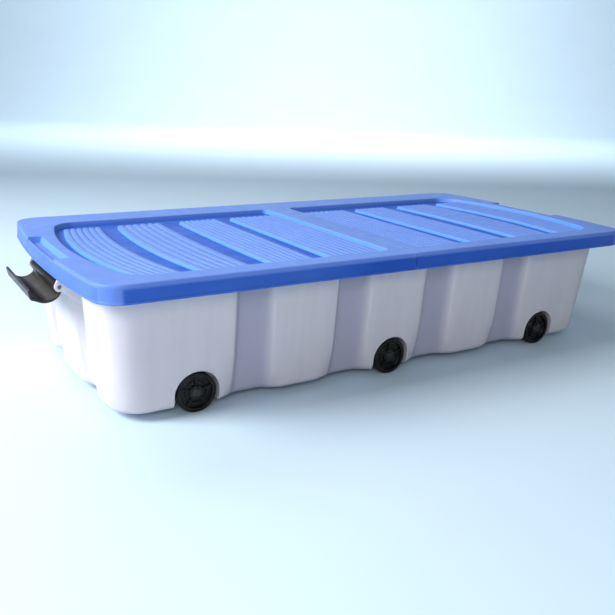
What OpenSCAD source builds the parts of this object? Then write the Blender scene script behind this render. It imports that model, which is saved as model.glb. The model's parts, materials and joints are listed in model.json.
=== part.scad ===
// Low rolling storage box for the space under a bed.
// A corrugated open tub runs on six wheels, and a lid in two halves folds at its middle.
// A hooked handle at each end swings on a rod and laps over the lid's end rim.
// Frame: X along the length, Y towards the back, Z up, origin on the floor at the middle.

/* [Lid] */
// Length over the lid's bowed ends
lid_length = 800; // [760:5:840]
// Width over the lid's straight sides
lid_width = 408; // [396:2:420]
// How far the lid's ends bow out between the corners
end_bow = 14; // [4:1:18]
// Corner radius of the lid
lid_corner = 32; // [24:1:40]
// Depth of the skirt around the lid
skirt_depth = 21; // [18:1:24]
// Thickness of the lid's plate and skirt
lid_wall = 2.4; // [1.8:0.1:3]
// Depth of the sunk panel in each half
panel_depth = 7; // [5:0.5:8]
// Height of the raised bands on the sunk panel
band_height = 3.6; // [2:0.2:4]
// Width of the rim between the sunk panels and the lid's front edge
front_rim = 30; // [29:1:36]
// Width of the rim between the sunk panels and the lid's back edge
back_rim = 57; // [50:1:60]
// Width of the rim between a sunk panel and the lid's end
end_rim = 31; // [29:1:35]

/* [Box] */
// Height of the closed box over its lid
box_height = 170; // [160:1:190]
// Gap between the floor and the tub's base
ground_gap = 8; // [6:1:12]
// Wall thickness of the tub
tub_wall = 2.4; // [1.8:0.1:3]
// Depth of the upright recesses in the tub's walls
corrugation = 11; // [6:0.5:12]

/* [Wheels] */
// Wheel diameter
wheel_d = 48; // [40:1:52]
// Wheel width
wheel_w = 16; // [12:0.5:18]
// Distance between neighbouring wheels along one side
wheel_spacing = 271; // [260:1:275]
// Axle pin diameter
axle_d = 3.8; // [3:0.1:3.8]

/* [Handles] */
// Width of a handle
handle_w = 123; // [100:1:126]
// Swing of a handle from its stop to the closed position
handle_swing = 97; // [80:1:100]
// Handle rod diameter
rod_d = 4.6; // [4:0.2:5]

/* [Hidden] */
$fn = 48;
eps = 0.01;

tub_colour = [0.86, 0.88, 0.92, 0.8];
lid_colour = [0.28, 0.45, 0.86];
black = [0.07, 0.07, 0.08];
steel = [0.7, 0.71, 0.73];

half_l = lid_length / 2;
half_w = lid_width / 2;
bow_rate = end_bow / (half_w * half_w);

// Tub: insets of its outer faces from the lid's edge, and the levels where they change
top_inset_end = 20;
top_inset_side = 29;
base_inset_end = 31;
base_inset_side = 42;
collar_inset = 12;
rim_inset = 4;
base_round = 9;
wall_corner = 34;
tub_base = ground_gap;
shoulder_z = box_height - 22;
collar_z = box_height - 19;
tub_top = box_height - lid_wall - 0.1;
rim_thick = 2.6;

// Corrugation: middles of the recesses and the widths of their mouths and floors
side_recess_middle = [67, 202];
side_recess_mouth = 54;
side_recess_floor = 30;
end_recess_middle = 70;
end_recess_mouth = 44;
end_recess_floor = 22;
end_recess_depth = 9;

// Floor plate's outline inside the recesses
floor_margin = 3;
floor_corner = 22;
// Height by which a block is drawn past the tub's top before it is trimmed
trim = 4;

// Wheels and their wells
wheel_r = wheel_d / 2;
wheel_face = half_w - base_inset_side;
tread_gap = 4;
side_gap = 3;
well_r = wheel_r + tread_gap;
well_floor = wheel_face - wheel_w - side_gap;
well_shell = 2.4;
axle_r = axle_d / 2;
running_gap = 0.08;
side_names = ["left", "middle", "right"];

// Handles: pivot position, lugs and the hook's section
pivot_x = half_l - 7;
pivot_z = box_height - 32.5;
lug_thick = 3.5;
lug_gap = 1;
lug_y = handle_w / 2 + lug_gap;
lug_r = 5.5;
lug_root = half_l - top_inset_end - end_recess_depth - 6;
lug_top = collar_z + 4;
lug_foot = pivot_z - 26;
rod_r = rod_d / 2;
hook_thick = 3.2;
hook_inner = 30.2;
hook_reach = 93;
hook_clear = 8;
barrel_r = 4.6;
bulge_x = -3;
bulge_z = 14;
bulge_r = 19.5;
heel_height = 11.5;
heel_width = 8;
heel_thick = 4;
heel_y = handle_w / 2 - 12;

// Lid: hook pocket, fold gap and raised bands
pocket_half = 65;
pocket_lip = 3.5;
pocket_width = 13.5;
lip_drop = 3.5;
notch_gap = 4;
notch_drop = 1;
fold_gap = 0.5;
slit_gap = 1.2;
slit_length = 40;
strip_half = 20;
panel_wall = 2.2;
panel_corner = 26;
panel_bow = 0.00095;
band_ends = [27, 101, 123, 182, 212, 279, 304, 357];
band_back = 126;
panel_half_w = half_w - (front_rim + back_rim) / 2;

// ---------- outlines ----------

// Height of the end curve's tangent point with a corner of radius r
function tangent_y(hw, r, rate) = hw - r + r * sin(atan(2 * rate * (hw - r)));

// Smooth step from 0 to 1
function ease(t) = t <= 0 ? 0 : t >= 1 ? 1 : 0.5 - 0.5 * cos(180 * t);

// Depth share of a row of recesses at the place s: 1 on a recess floor, 0 outside its mouth
function recess(s, middles, mouth, floor_w) =
    max([for (m = middles) ease((mouth / 2 - abs(abs(s) - m)) / ((mouth - floor_w) / 2))]);
function end_share(y) = recess(y, [end_recess_middle], end_recess_mouth, end_recess_floor);
function side_share(x) = recess(x, side_recess_middle, side_recess_mouth, side_recess_floor);

// Points along an arc in n steps
function arc_points(cx, cy, r, a0, a1, n) =
    [for (i = [0:n]) let (a = a0 + (a1 - a0) * i / n) [cx + r * cos(a), cy + r * sin(a)]];

// One quarter of a bowed outline, from the middle of the end to the middle of the side:
// end stretch at heights ys, corner arc, side stretch at places xs
function quarter(hl, hw, r, rate, ys, xs, arc_steps, end_cut, side_cut) =
    let (ty = tangent_y(hw, r, rate), lean = atan(2 * rate * ty))
    concat(
        [for (y = ys) [hl - rate * y * y - end_cut * end_share(y), y]],
        arc_points(hl - rate * ty * ty - r * cos(lean), hw - r, r, lean, 90, arc_steps),
        [for (x = xs) [x, hw - side_cut * side_share(x)]]);

function mirror_x(points) = [for (i = [len(points) - 1:-1:0]) [-points[i][0], points[i][1]]];
function mirror_y(points) = [for (i = [len(points) - 1:-1:0]) [points[i][0], -points[i][1]]];

// Points of a list between two places, both included
function part_of(points, a, b) = [for (i = [a:b]) points[i]];

// Whole outline, anticlockwise, from its quarter: point i has its twin across the X axis at n - i
function whole(q) =
    let (h = concat(q, part_of(mirror_x(q), 1, len(q) - 1)))
    concat(h, mirror_y(part_of(h, 1, len(h) - 2)));

// Plain outline at a distance inside the lid's edge
function plain_outline(inset) =
    whole(quarter(half_l - inset, half_w - inset, max(lid_corner - inset, 6), bow_rate,
        [for (i = [0:6]) i * (half_w - lid_corner) / 7], [0], 8, 0, 0));

// Places along a recess's flanks, each flank in four steps
function flank_places(m, mouth, floor_w) =
    let (step = (mouth - floor_w) / 8)
    concat([for (i = [4:-1:0]) m + floor_w / 2 + i * step], [for (i = [0:4]) m - floor_w / 2 - i * step]);
side_places = concat(
    [for (k = [1:-1:0]) each flank_places(side_recess_middle[k], side_recess_mouth, side_recess_floor)], [0]);
end_flanks = flank_places(end_recess_middle, end_recess_mouth, end_recess_floor);
end_places = concat([0, end_recess_middle / 3], [for (i = [len(end_flanks) - 1:-1:0]) end_flanks[i]]);

// Tub outline for one level: [z, end inset, side inset, corrugation share, corner radius]
function tub_outline(level, thick) =
    whole(quarter(half_l - level[1] - thick, half_w - level[2] - thick, level[4] - thick, bow_rate,
        end_places, side_places, 6, end_recess_depth * level[3], corrugation * level[3]));

// ---------- general shapes ----------

// Strips across an outline of n points that starts at the index first, each between a point and its twin
function cap(first, n) = [for (i = [0:n / 2 - 1]) for (half = [0, 1])
    let (a = first + i, b = first + i + 1, c = first + n - i - 1, d = first + (n - i) % n)
    if (half == 0 ? i < n / 2 - 1 : i > 0)
        half == 0 ? [a, b, c] : [a, c, d]];

function flipped(faces) = [for (f = faces) [f[0], f[2], f[1]]];

// Solid skinned over outlines of equal length, stacked at the heights zs
module loft(outlines, zs) {
    n = len(outlines[0]);
    m = len(outlines);
    points = [for (k = [0:m - 1]) for (p = outlines[k]) [p[0], p[1], zs[k]]];
    sides = [for (k = [0:m - 2]) for (i = [0:n - 1]) for (half = [0, 1])
        let (a = k * n + i, b = k * n + (i + 1) % n)
        half == 0 ? [a, b + n, b] : [a, a + n, b + n]];
    polyhedron(points, concat(cap(0, n), sides, flipped(cap((m - 1) * n, n))));
}

module slab(outline, z, thick) {
    translate([0, 0, z]) linear_extrude(thick) polygon(outline);
}

// Cylinder along Y between two places, y0 below y1
module rod_y(r, y0, y1) {
    translate([0, y1, 0]) rotate([90, 0, 0]) cylinder(r = r, h = y1 - y0);
}

// ---------- tub ----------

// Level on the straight draft of the wall at height z
function wall_level(z, extra) =
    let (t = (z - tub_base) / (shoulder_z - tub_base))
    [z, base_inset_end + (top_inset_end - base_inset_end) * t + extra,
        base_inset_side + (top_inset_side - base_inset_side) * t + extra, 1, wall_corner];

// Level across the floor, past the recesses
function floor_level(z, extra) =
    [z, base_inset_end + extra + end_recess_depth + floor_margin,
        base_inset_side + extra + corrugation + floor_margin, 0, floor_corner];

// Level on the upright collar under the lid
function collar_level(z) = [z, collar_inset, collar_inset, 0, lid_corner - collar_inset];

// Rounded lower edge, radius r, in steps, above the height z
function round_levels(z, r, steps) =
    [for (i = [0:steps - 1]) let (a = 90 * i / steps) wall_level(z + r * (1 - cos(a)), r * (1 - sin(a)))];

tub_outer_levels = concat(
    [floor_level(tub_base, base_round)],
    round_levels(tub_base, base_round, 3),
    [wall_level(tub_base + base_round, 0), wall_level(shoulder_z, 0),
     collar_level(collar_z), collar_level(tub_top + trim)]);
tub_inner_levels = concat(
    [floor_level(tub_base + tub_wall, base_round - tub_wall)],
    round_levels(tub_base + tub_wall, base_round - tub_wall, 3),
    [wall_level(tub_base + base_round, 0), wall_level(shoulder_z + 0.5, 0),
     collar_level(collar_z + 1.5), collar_level(tub_top + 2 * trim)]);

module tub_block(levels, thick) {
    loft([for (l = levels) tub_outline(l, thick)], [for (l = levels) l[0]]);
}

// Shape of a wheel well grown by extra: a round arch open to below
module well(extra) {
    arch = arc_points(0, wheel_r, well_r + extra, 0, 180, 24);
    translate([0, -well_floor + extra, 0]) rotate([90, 0, 0]) linear_extrude(half_w)
        polygon(concat([[well_r + extra, -1]], arch, [[-well_r - extra, -1]]));
}

// Places a child at every wheel: front side as drawn, back side turned half round
module at_wheels() {
    for (turn = [0, 180]) for (i = [-1:1])
        rotate([0, 0, turn]) translate([i * wheel_spacing, 0, 0]) children();
}

module at_both_ends() {
    for (turn = [0, 180]) rotate([0, 0, turn]) children();
}

// Pair of pivot lugs on the end wall at +X, with their bores
module lugs() {
    for (s = [-1, 1]) translate([0, s * (lug_y + lug_thick / 2), 0]) difference() {
        union() {
            translate([pivot_x, 0, pivot_z]) rod_y(lug_r, -lug_thick / 2, lug_thick / 2);
            translate([0, lug_thick / 2, 0]) rotate([90, 0, 0]) linear_extrude(lug_thick)
                polygon([[lug_root, lug_top], [pivot_x - 3, lug_top], [pivot_x + lug_r - 0.5, pivot_z + 1],
                    [pivot_x, pivot_z - lug_r], [lug_root, lug_foot]]);
        }
        translate([pivot_x, 0, pivot_z]) rod_y(rod_r + running_gap, -lug_thick, lug_thick);
    }
}

// Gap in the rim that leaves room for the lid's hook pocket
module rim_notch() {
    notch_half = pocket_half + notch_gap;
    notch_z = box_height - panel_depth - panel_wall - notch_drop;
    translate([half_l - end_rim, -notch_half, notch_z]) cube([2 * end_rim, 2 * notch_half, box_height]);
}

module tub() {
    color(tub_colour) difference() {
        union() {
            tub_block(tub_outer_levels, 0);
            difference() {
                slab(plain_outline(rim_inset), tub_top - rim_thick, rim_thick + trim);
                slab(plain_outline(collar_inset + tub_wall / 2), tub_top - rim_thick - trim, box_height);
            }
            at_both_ends() lugs();
        }
        difference() {
            tub_block(tub_inner_levels, tub_wall);
            at_wheels() well(well_shell);
        }
        at_wheels() well(0);
        at_wheels() translate([0, 0, wheel_r])
            rod_y(axle_r + running_gap, -half_w, -well_floor + 2 * well_shell);
        at_both_ends() rim_notch();
        translate([-lid_length, -lid_width, tub_top]) cube([2 * lid_length, 2 * lid_width, box_height]);
    }
}

// ---------- wheels ----------

hub_r = 8;
hub_sink = 0.8;
face_r = wheel_r - 5;
face_sink = 4;
tread_round = 1.5;
spokes = 5;
spoke_width = 2.5;
spoke_sink = 1.4;

// Wheel on the front side at X = 0: sunk face with a hub, spokes and a rounded tread
module wheel_shape() {
    color(black) translate([0, -wheel_face, wheel_r]) difference() {
        union() {
            rotate([-90, 0, 0]) rotate_extrude()
                polygon([[0, face_sink], [face_r, face_sink], [face_r, 0],
                    [wheel_r - tread_round, 0], [wheel_r, tread_round],
                    [wheel_r, wheel_w - tread_round], [wheel_r - tread_round, wheel_w], [0, wheel_w]]);
            rod_y(hub_r, hub_sink, wheel_w);
            for (i = [0:spokes - 1]) rotate([0, 360 / spokes * i, 0])
                translate([-spoke_width / 2, spoke_sink, 0]) cube([spoke_width, face_sink, face_r + 0.5]);
        }
        rod_y(axle_r + running_gap, -1, wheel_w + 1);
    }
}

// Axle pin on the front side at X = 0: outer head, shank and the barb behind the well's wall
module axle_shape() {
    head_r = axle_r + 3.5;
    head_t = 1.6;
    head_seat = -wheel_face + 0.5;
    barb_r = axle_r + 0.9;
    barb_y = -well_floor + well_shell + 0.3;
    barb_t = 1.7;
    color(black) translate([0, 0, wheel_r]) {
        rod_y(head_r, head_seat - head_t, head_seat);
        rod_y(axle_r, head_seat - head_t / 2, barb_y + barb_t / 2);
        rod_y(barb_r, barb_y, barb_y + barb_t);
    }
}

module on_side(side, i) {
    rotate([0, 0, side == "front" ? 0 : 180])
        translate([(side == "front" ? 1 : -1) * (i - 1) * wheel_spacing, 0, 0]) children();
}

// ---------- handles ----------

// Angle on the bulge circle of radius r at the height z above the pivot
function bulge_angle(r, z) = asin((z - bulge_z) / r);

// Section of the hook in its closed position, pivot at the origin, lid edge at +X
hook_outer = hook_inner + hook_thick;
hook_section = concat(
    [[0, -barrel_r]],
    arc_points(bulge_x, bulge_z, bulge_r, bulge_angle(bulge_r, -3), bulge_angle(bulge_r, 28), 8),
    arc_points(0, 0, hook_outer, 72, hook_reach, 5),
    arc_points(0, 0, hook_inner, hook_reach, acos(hook_clear / hook_inner), 5),
    arc_points(bulge_x, bulge_z, bulge_r - hook_thick, bulge_angle(bulge_r - hook_thick, 25.5),
        bulge_angle(bulge_r - hook_thick, 2), 6),
    [[0, barrel_r]]);

// Handle at +X, standing at its stop
module handle_shape() {
    color(black) translate([pivot_x, 0, pivot_z]) difference() {
        union() {
            rod_y(barrel_r, -handle_w / 2, handle_w / 2);
            rotate([0, handle_swing, 0]) translate([0, handle_w / 2, 0]) rotate([90, 0, 0])
                linear_extrude(handle_w) polygon(hook_section);
            for (s = [-1, 1]) translate([-1 - heel_thick, s * heel_y - heel_width / 2, 0])
                cube([heel_thick, heel_width, heel_height]);
        }
        rod_y(rod_r + running_gap, -handle_w, handle_w);
    }
}

module handle_rod_shape() {
    color(steel) translate([pivot_x, 0, pivot_z]) rod_y(rod_r, -lug_y - lug_thick, lug_y + lug_thick);
}

// ---------- lid ----------

// Sunk panel outline of the half at +X, grown by extra
function panel_outline(extra) =
    let (x0 = strip_half - extra, hl = half_l - end_rim + extra)
    let (hw = panel_half_w + extra, r = panel_corner + extra)
    let (q = quarter(hl, hw, r, panel_bow, [for (i = [0:5]) i * (hw - r) / 6], [x0], 7, 0, 0))
    concat(mirror_y([for (i = [1:len(q) - 1]) q[i]]), q);

// Bow of a band's edge that stands at the place x
function band_rate(x) = panel_bow * max(x - 160, 0) / 200;

// Raised band between two places, its long edges bowed
function band_outline(x0, x1) =
    let (hw = panel_half_w, ys = [for (i = [-5:5]) i < 0 ? i * hw / 5 : i * band_back / 5])
    concat([for (y = ys) [x1 - band_rate(x1) * y * y, y]],
        [for (i = [10:-1:0]) [x0 - band_rate(x0) * ys[i] * ys[i], ys[i]]]);

// Slab of an outline that is drawn about the middle of a sunk panel
module panel_slab(outline, z, height) {
    translate([0, (front_rim - back_rim) / 2, 0]) slab(outline, z, height);
}

module lid_half() {
    plate_z = box_height - lid_wall;
    floor_z = box_height - panel_depth;
    end_x = half_l - pocket_lip - pocket_width;
    color(lid_colour) difference() {
        union() {
            difference() {
                slab(plain_outline(0), box_height - skirt_depth, skirt_depth);
                slab(plain_outline(lid_wall), box_height - skirt_depth - 1, skirt_depth - lid_wall + 1);
            }
            panel_slab(panel_outline(panel_wall), floor_z - panel_wall, panel_depth);
            translate([end_x - panel_wall, -pocket_half - panel_wall, floor_z - panel_wall])
                cube([half_l - 1 - end_x, 2 * (pocket_half + panel_wall), panel_depth]);
        }
        difference() {
            panel_slab(panel_outline(0), floor_z, panel_depth + 1);
            intersection() {
                panel_slab(panel_outline(0), floor_z - eps, band_height + eps);
                union() for (i = [0:2:6])
                    panel_slab(band_outline(band_ends[i], band_ends[i + 1]), floor_z - eps, band_height + eps);
            }
        }
        translate([end_x, -pocket_half, floor_z]) cube([pocket_width, 2 * pocket_half, panel_depth + 1]);
        translate([end_x + pocket_width - 1, -pocket_half, box_height - lip_drop])
            cube([end_rim, 2 * pocket_half, box_height]);
        translate([-lid_length, -lid_width, 0])
            cube([lid_length + fold_gap / 2, 2 * lid_width, box_height + 1]);
        for (s = [-1, 1]) translate([-1, s * half_w - slit_length, 0])
            cube([1 + slit_gap / 2, 2 * slit_length, box_height + 1]);
    }
}

tub();
lid_half();  // lid_right
mirror([1, 0, 0]) lid_half();  // lid_left
handle_shape();  // handle_right
rotate([0, 0, 180]) handle_shape();  // handle_left
handle_rod_shape();  // handle_rod_right
rotate([0, 0, 180]) handle_rod_shape();  // handle_rod_left
for (side = ["front", "back"]) for (i = [0:2]) {
    on_side(side, i) wheel_shape();
    on_side(side, i) axle_shape();
}
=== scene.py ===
import json
import math

import bmesh
import bpy
import numpy as np
from mathutils import Matrix, Vector


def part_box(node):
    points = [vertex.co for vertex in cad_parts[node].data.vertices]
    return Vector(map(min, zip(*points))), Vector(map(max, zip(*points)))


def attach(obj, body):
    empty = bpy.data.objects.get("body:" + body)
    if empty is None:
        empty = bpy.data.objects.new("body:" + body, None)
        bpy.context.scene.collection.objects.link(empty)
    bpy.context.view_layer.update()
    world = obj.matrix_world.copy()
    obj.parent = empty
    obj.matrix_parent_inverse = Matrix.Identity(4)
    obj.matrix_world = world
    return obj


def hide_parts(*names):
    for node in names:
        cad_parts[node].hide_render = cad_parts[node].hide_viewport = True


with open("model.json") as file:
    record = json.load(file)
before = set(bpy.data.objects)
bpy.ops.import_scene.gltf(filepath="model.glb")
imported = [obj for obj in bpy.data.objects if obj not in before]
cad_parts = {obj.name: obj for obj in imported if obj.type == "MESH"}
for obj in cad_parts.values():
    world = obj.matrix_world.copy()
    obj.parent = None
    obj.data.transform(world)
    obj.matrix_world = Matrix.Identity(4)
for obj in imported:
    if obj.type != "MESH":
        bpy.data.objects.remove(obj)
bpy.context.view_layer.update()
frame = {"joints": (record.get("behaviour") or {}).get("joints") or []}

mm = 0.001

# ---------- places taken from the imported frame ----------

JOINTS = {j["name"]: j for j in frame["joints"]}
LID_LOW, LID_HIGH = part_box("lid_right")
TUB_LOW, TUB_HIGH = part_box("tub")
TOP = LID_HIGH.z
HALF_L = LID_HIGH.x
HALF_W = LID_HIGH.y
FOLD_X = LID_LOW.x
PIVOT = Vector(JOINTS["handle_right_swing"]["pos_m"])
HANDLE_SWING = math.radians(JOINTS["handle_right_swing"]["range_deg"][1])
WHEEL_NAMES = [f"{side}_{place}" for side in ("front", "back") for place in ("left", "middle", "right")]

# ---------- driving dimensions ----------

LID_BOW = 14 * mm / HALF_W**2
LID_CORNER = 32 * mm
LID_WALL = 2.4 * mm
PANEL_DEPTH = 7 * mm
PANEL_WALL = 2.2 * mm
PANEL_BOW = 0.95
PANEL_CORNER = 26 * mm
STRIP_CORNER = 8 * mm
STRIP_HALF = 20 * mm
END_RIM = 31 * mm
FRONT_RIM, BACK_RIM = 30 * mm, 57 * mm
PANEL_Y = (FRONT_RIM - BACK_RIM) / 2
POCKET_HALF = 65 * mm
LIP_DROP = 3.5 * mm
SLIT_X = 0.6 * mm
SLIT_FROM = HALF_W - 40 * mm
RIB_CREST = 4.7 * mm
RIB_VALLEY = 2.9 * mm
BAND_BACK = 126 * mm

# Raised bands of one lid half: where each begins and ends along X, and its number of ribs
BANDS = [(27 * mm, 101 * mm, 8), (123 * mm, 182 * mm, 7), (212 * mm, 279 * mm, 6), (304 * mm, 357 * mm, 6)]

TUB_WALL = 2.4 * mm
BASE_END, BASE_SIDE = 31 * mm, 42 * mm
TOP_END, TOP_SIDE = 20 * mm, 29 * mm
CORRUGATION = 11 * mm
END_RECESS = 9 * mm
WALL_CORNER = 34 * mm
BASE_ROUND = 9 * mm
COLLAR_INSET = 12 * mm
SHOULDER_Z = TOP - 22 * mm
COLLAR_Z = TOP - 19 * mm
TUB_TOP = TUB_HIGH.z
RIM_INSET = 4 * mm
RIM_THICK = 2.6 * mm
WELL_RADIUS = 28 * mm
WELL_FLOOR = 143 * mm
AXLE_RADIUS = 1.9 * mm
BORE_GAP = 0.08 * mm

BARREL = 4.6 * mm
HOOK_THICK = 3.2 * mm
HOOK_INNER = 30.2 * mm
HOOK_REACH = math.radians(93)
ROD_RADIUS = 2.3 * mm
LUG_RADIUS = 5.5 * mm
LUG_THICK = 3.5 * mm


# ---------- mesh tools ----------

def object_from(name, verts, faces, material):
    """A new object with smooth faces, sharp where two faces meet at more than 35 degrees."""
    data = bpy.data.meshes.new(name)
    data.from_pydata([tuple(v) for v in verts], [], [tuple(f) for f in faces])
    data.materials.append(material)
    piece = bpy.data.objects.new(name, data)
    bpy.context.scene.collection.objects.link(piece)
    tidy_mesh(piece)
    return piece


def tidy_mesh(piece, angle=35):
    """Merges doubled points, turns all faces outwards and sets the shading."""
    bm = bmesh.new()
    bm.from_mesh(piece.data)
    bmesh.ops.remove_doubles(bm, verts=bm.verts, dist=1e-6)
    bmesh.ops.dissolve_degenerate(bm, edges=bm.edges, dist=1e-6)
    bmesh.ops.recalc_face_normals(bm, faces=bm.faces)
    for face in bm.faces:
        face.smooth = True
    limit = math.radians(angle)
    for edge in bm.edges:
        edge.smooth = not (len(edge.link_faces) == 2 and edge.calc_face_angle() > limit)
    bm.to_mesh(piece.data)
    bm.free()


def apply_modifiers(piece):
    """Replaces the piece's mesh by what its modifiers make of it."""
    graph = bpy.context.evaluated_depsgraph_get()
    made = bpy.data.meshes.new_from_object(piece.evaluated_get(graph))
    piece.modifiers.clear()
    piece.data = made


def combine(piece, tool, operation):
    """Boolean of two closed pieces; the tool is removed."""
    step = piece.modifiers.new("combine", "BOOLEAN")
    step.operation = operation
    step.solver = "EXACT"
    step.object = tool
    apply_modifiers(piece)
    bpy.data.objects.remove(tool)


def soften(piece, width, segments=2, angle=40):
    """Rounds the piece's sharp edges."""
    step = piece.modifiers.new("soften", "BEVEL")
    step.width = width
    step.segments = segments
    step.limit_method = "ANGLE"
    step.angle_limit = math.radians(angle)
    step.harden_normals = False
    apply_modifiers(piece)
    tidy_mesh(piece)


def bridge(first, second, closed=True):
    """Quads between two rows of indices of equal length."""
    n = len(first)
    pairs = range(n if closed else n - 1)
    return [(first[i], first[(i + 1) % n], second[(i + 1) % n], second[i]) for i in pairs]


def skin(rows):
    """Points, faces and rows of indices of a tube over rows of equally many points, open at its ends."""
    n = len(rows[0])
    ids = [list(range(i * n, (i + 1) * n)) for i in range(len(rows))]
    faces = []
    for a, b in zip(ids, ids[1:]):
        faces += bridge(a, b)
    return [point for row in rows for point in row], faces, ids


def tube(name, rows, material):
    """Closed solid over rows of equally many points, capped at its two ends."""
    verts, faces, ids = skin(rows)
    return object_from(name, verts, faces + [tuple(ids[0]), tuple(ids[-1])], material)


def prism(name, outline, y0, y1, material):
    """Closed solid of an outline of (x, z) points between two places on the Y axis."""
    return tube(name, [[(x, y, z) for x, z in outline] for y in (y0, y1)], material)


def lathe(name, profile, material, steps=96, closed=False):
    """Solid turned about Y from a profile of (radius, y), closed or starting and ending on the axis."""
    verts, rings = [], []
    turn = [2 * math.pi * i / steps for i in range(steps)]
    for radius, y in profile:
        if radius < 1e-9:
            rings.append([len(verts)])
            verts.append((0, y, 0))
            continue
        rings.append(list(range(len(verts), len(verts) + steps)))
        verts += [(radius * math.cos(a), y, radius * math.sin(a)) for a in turn]
    faces = []
    for a, b in zip(rings, rings[1:] + (rings[:1] if closed else [])):
        if len(a) == 1:
            faces += [(a[0], b[i], b[(i + 1) % steps]) for i in range(steps)]
        elif len(b) == 1:
            faces += [(b[0], a[i], a[(i + 1) % steps]) for i in range(steps)]
        else:
            faces += bridge(a, b)
    return object_from(name, verts, faces, material)


def arc(cx, cy, r, a0, a1, steps):
    """Points along an arc, angles in radians."""
    turn = [a0 + (a1 - a0) * i / steps for i in range(steps + 1)]
    return [(cx + r * math.cos(a), cy + r * math.sin(a)) for a in turn]


def in_mm(*values):
    """Metres from values in millimetres."""
    return [v * mm for v in values]


def ease(t):
    """Smooth step from 0 to 1."""
    t = min(max(t, 0.0), 1.0)
    return t * t * (3 - 2 * t)


def joined(name, pieces):
    """One object from several that don't touch."""
    verts, faces = [], []
    for piece in pieces:
        start = len(verts)
        verts += [piece.matrix_world @ v.co for v in piece.data.vertices]
        faces += [[start + i for i in p.vertices] for p in piece.data.polygons]
    material = pieces[0].data.materials[0]
    for piece in pieces:
        bpy.data.objects.remove(piece)
    return object_from(name, verts, faces, material)


# ---------- materials ----------

def nodes_of(name):
    """A new material's node tree with its Principled shader."""
    material = bpy.data.materials.new(name)
    material.use_nodes = True
    tree = material.node_tree
    return material, tree, tree.nodes["Principled BSDF"]


def add(tree, kind, **values):
    """A new node with its sockets or properties set."""
    node = tree.nodes.new(kind)
    for key, value in values.items():
        if key in node.inputs:
            node.inputs[key].default_value = value
        else:
            setattr(node, key, value)
    return node


def noise(tree, scale, detail, stretch=None):
    """Noise in object space, scale in cells per metre, drawn out along an axis by stretch."""
    source = add(tree, "ShaderNodeTexCoord").outputs["Object"]
    if stretch:
        mapping = add(tree, "ShaderNodeMapping")
        mapping.inputs["Scale"].default_value = stretch
        tree.links.new(source, mapping.inputs["Vector"])
        source = mapping.outputs["Vector"]
    texture = add(tree, "ShaderNodeTexNoise", Scale=scale, Detail=detail)
    tree.links.new(source, texture.inputs["Vector"])
    return texture.outputs["Fac"]


def ramp(tree, source, low, high, from_low=0.3, from_high=0.7):
    """Maps a value to a number range."""
    ends = {"From Min": from_low, "From Max": from_high, "To Min": low, "To Max": high}
    node = add(tree, "ShaderNodeMapRange", **ends)
    tree.links.new(source, node.inputs["Value"])
    return node.outputs["Result"]


def mixed(tree, factor, first, second):
    """Colour between two colours."""
    node = add(tree, "ShaderNodeMix", data_type="RGBA")
    tree.links.new(factor, node.inputs["Factor"])
    for socket, value in (("A", first), ("B", second)):
        target = [s for s in node.inputs if s.name == socket and s.type == "RGBA"][0]
        if isinstance(value, tuple):
            target.default_value = (*value, 1)
        else:
            tree.links.new(value, target)
    return [s for s in node.outputs if s.type == "RGBA"][0]


def clouds(tree, scale, detail, first, second):
    """Colour that noise drifts between two colours."""
    return mixed(tree, ramp(tree, noise(tree, scale, detail), 0, 1), first, second)


def split(tree, vector):
    """X, Y and Z of a vector."""
    node = add(tree, "ShaderNodeSeparateXYZ")
    tree.links.new(vector, node.inputs["Vector"])
    return node.outputs


def feed(tree, shader, inputs):
    """Gives each named input of the shader its number, tuple or output."""
    for name, value in inputs.items():
        if isinstance(value, (int, float, tuple)):
            shader.inputs[name].default_value = value
        else:
            tree.links.new(value, shader.inputs[name])


def bump(tree, shader, layers):
    """Chained bumps from (height, distance, strength)."""
    normal = None
    for height, distance, strength in layers:
        node = add(tree, "ShaderNodeBump", Distance=distance, Strength=strength)
        tree.links.new(height, node.inputs["Height"])
        if normal:
            tree.links.new(normal, node.inputs["Normal"])
        normal = node.outputs["Normal"]
    tree.links.new(normal, shader.inputs["Normal"])


def math_node(tree, operation, *operands):
    """Result of a maths node; each operand is a number or an output."""
    node = add(tree, "ShaderNodeMath", operation=operation)
    for socket, value in zip(node.inputs, operands):
        if isinstance(value, (int, float)):
            socket.default_value = value
        else:
            tree.links.new(value, socket)
    return node.outputs[0]


def edge_wear(tree):
    """Share of wear on convex edges, broken up by noise."""
    edges = ramp(tree, add(tree, "ShaderNodeNewGeometry").outputs["Pointiness"], 0, 1, 0.52, 0.6)
    return math_node(tree, "MULTIPLY", edges, ramp(tree, noise(tree, 60, 4), 0, 1, 0.42, 0.6))


# Distance inside the lid's end over which the skirt's colour, lifted by painted light, gives way to the
# top's
SKIRT_FADE = 2.8 * mm, 3.6 * mm


def end_depth(tree, parts):
    """Distance of a point on the lid inside the bowed end of its half."""
    bowed = math_node(tree, "MULTIPLY", parts["Y"], parts["Y"])
    reach = math_node(tree, "MULTIPLY_ADD", bowed, -LID_BOW, HALF_L)
    return math_node(tree, "SUBTRACT", reach, math_node(tree, "ABSOLUTE", parts["X"]))


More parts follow.
